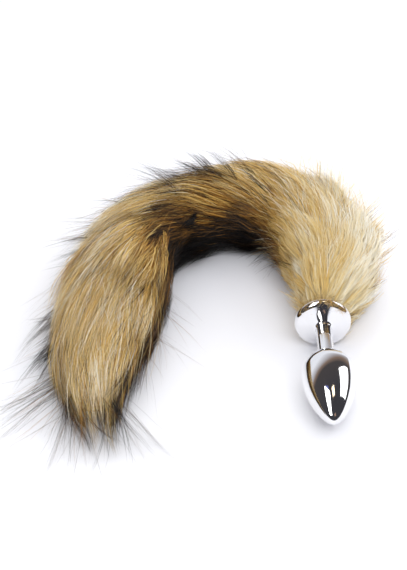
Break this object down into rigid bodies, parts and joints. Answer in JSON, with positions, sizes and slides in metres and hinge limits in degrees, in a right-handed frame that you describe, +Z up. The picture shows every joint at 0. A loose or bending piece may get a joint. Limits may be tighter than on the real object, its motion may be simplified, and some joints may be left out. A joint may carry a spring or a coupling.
{
  "type": "fox tail butt plug",
  "caption": "Polished metal plug with a round flange and a long soft fur tail, lying on its side with the tail bent round beside it.",
  "frame": {"origin": "under the middle of the part's box, on the surface that it lies on", "axes": "+Z up, -Y the way the plug points, -X the side to which the tail bends"},
  "size_m": [0.1838, 0.2238, 0.043],
  "materials": {
    "polished_metal": "mirror polished",
    "post_metal": "turned",
    "fox_fur": "long soft fur, tan with dark tips"
  },
  "bodies": {
    "root": {"plug": "polished_metal", "tail_post": "post_metal", "tail_fur": "fox_fur"}
  },
  "joints": []
}
